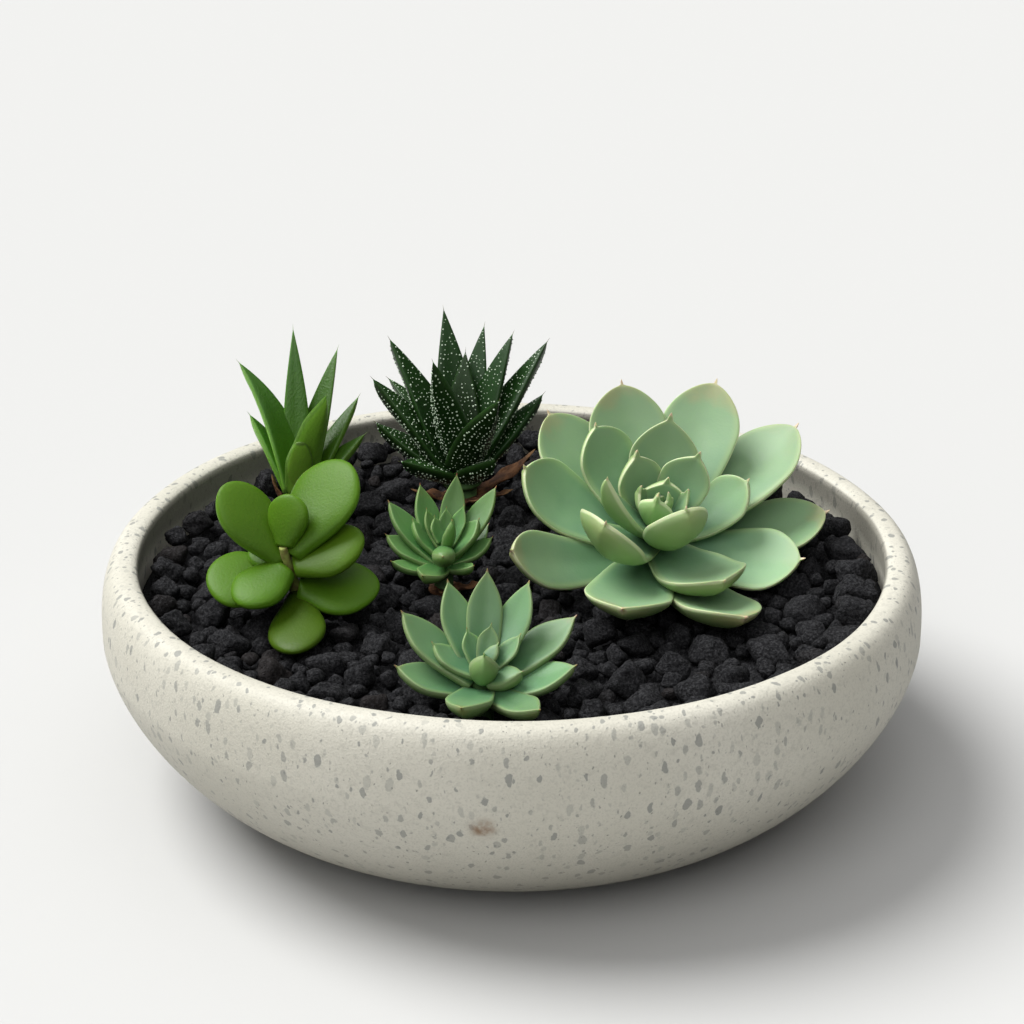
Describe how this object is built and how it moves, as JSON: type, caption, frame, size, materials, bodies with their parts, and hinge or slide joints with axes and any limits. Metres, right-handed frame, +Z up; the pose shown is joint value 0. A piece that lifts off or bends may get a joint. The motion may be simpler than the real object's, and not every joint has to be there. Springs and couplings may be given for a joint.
{
  "type": "succulent dish garden",
  "caption": "Low round cast-stone bowl planted with small rosette and jade succulents in dark lava gravel, a free-standing table decoration.",
  "frame": {"origin": "centre of the bowl's flat foot, on the surface that it stands on", "axes": "+Z up, +X to the right and -Y to the front as the planting is seen; +X side holds the large echeveria"},
  "size_m": [0.3, 0.3, 0.1431],
  "materials": {
    "cast_stone": "satin cast stone with grey flakes",
    "potting_soil": "matt crumbly soil",
    "lava_stone": "matt rough lava",
    "echeveria_leaf": "waxy matt leaf",
    "front_rosette_leaf": "waxy matt leaf",
    "centre_rosette_leaf": "waxy satin leaf",
    "haworthia_leaf": "satin leaf with white dots",
    "aloe_leaf": "satin leaf",
    "jade_leaf": "glossy leaf",
    "dry_leaf": "matt withered leaf"
  },
  "bodies": {
    "root": {"bowl": "cast_stone", "potting_soil": "potting_soil", "lava_gravel": "lava_stone", "large_echeveria": "echeveria_leaf", "front_rosette": "front_rosette_leaf", "centre_rosette": "centre_rosette_leaf", "centre_rosette_dry_leaf": "dry_leaf", "dotted_haworthia": "haworthia_leaf", "haworthia_dry_leaves": "dry_leaf", "spiky_aloe": "aloe_leaf", "aloe_dry_leaf": "dry_leaf", "jade_plant": "jade_leaf"}
  },
  "joints": []
}
